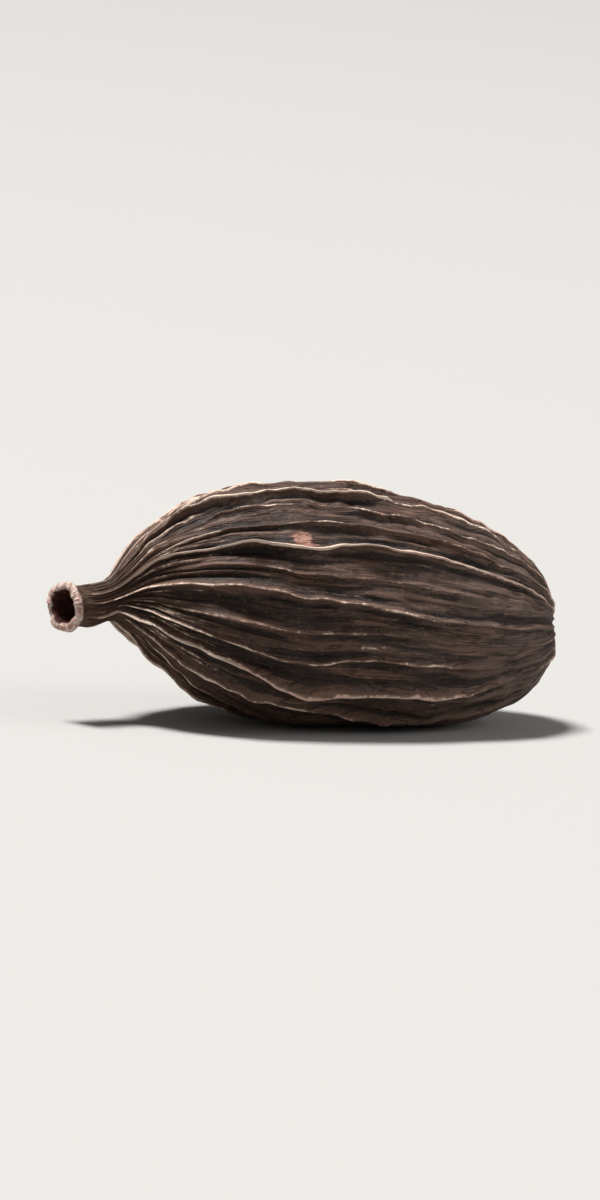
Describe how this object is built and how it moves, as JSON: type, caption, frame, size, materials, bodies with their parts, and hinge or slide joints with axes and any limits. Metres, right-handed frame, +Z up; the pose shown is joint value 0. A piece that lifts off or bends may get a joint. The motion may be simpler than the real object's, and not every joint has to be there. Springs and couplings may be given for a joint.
{
  "type": "black cardamom pod",
  "caption": "Whole dried black cardamom pod: a pleated, egg-shaped husk with a small cut tube at its tip, lying on its side.",
  "frame": {"origin": "middle of the small flat spot that the pod rests on, on its underside", "axes": "+Z up, +X along the pod from its cut tip towards its blunt base, -X towards the rim at the tip, +Y to one side"},
  "size_m": [0.0253, 0.0122, 0.0116],
  "materials": {
    "dried_husk": "matte"
  },
  "bodies": {
    "root": {"pod": "dried_husk"}
  },
  "joints": []
}
